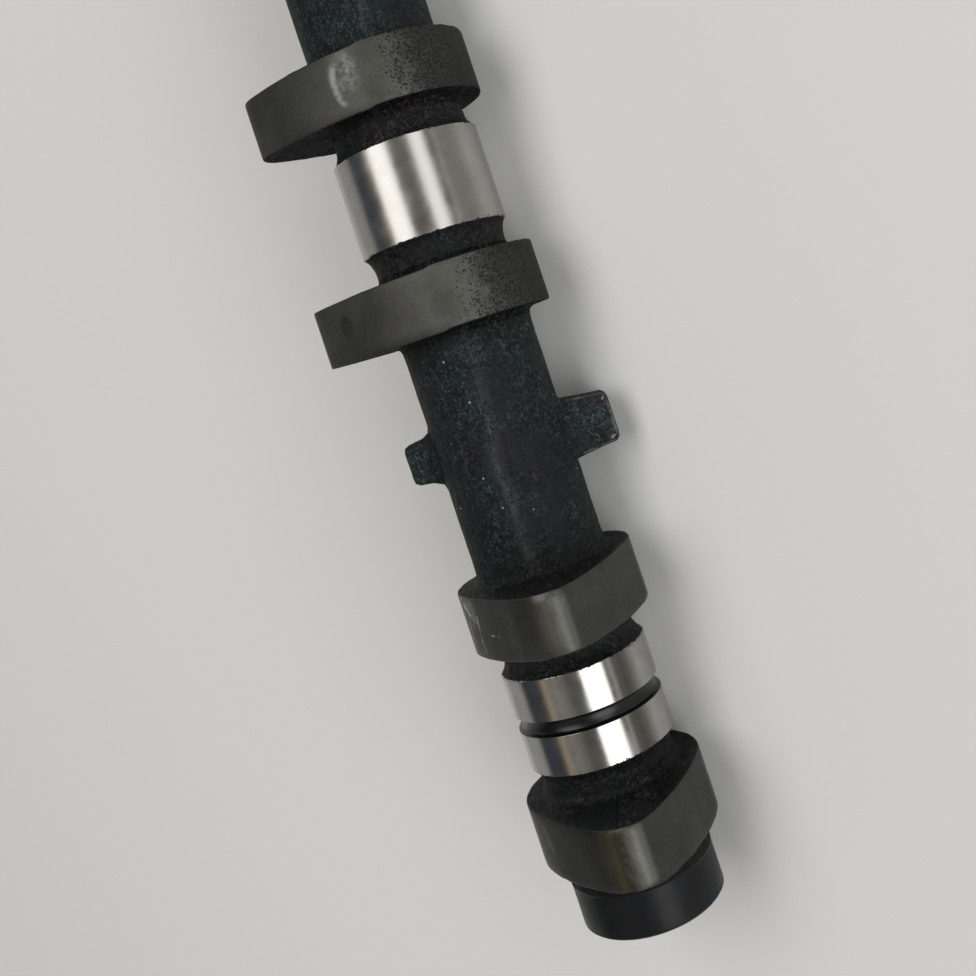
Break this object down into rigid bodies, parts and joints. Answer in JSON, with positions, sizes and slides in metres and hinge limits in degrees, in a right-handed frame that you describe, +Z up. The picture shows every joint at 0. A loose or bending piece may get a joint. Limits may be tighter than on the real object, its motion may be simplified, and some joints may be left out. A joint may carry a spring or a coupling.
{
  "type": "camshaft",
  "caption": "Cast overhead camshaft lying on its lobes: round bar with pairs of valve lobes astride bright ground journals, cast lugs, black rear collar and drive nose.",
  "frame": {"origin": "on the shaft's axis at the thrust face, the inner end of the front journal", "axes": "+X along the shaft towards the rear end, with the drive end at -X; +Z up as the shaft lies at rest on its lobes; the rear lobes' noses point 47.6 degrees up towards +Y"},
  "size_m": [0.4207, 0.0404, 0.0404],
  "materials": {
    "casting": "as-cast dark skin, ground lobes, bright ground journals, black machined collar"
  },
  "bodies": {
    "root": {"camshaft": "casting"}
  },
  "joints": []
}
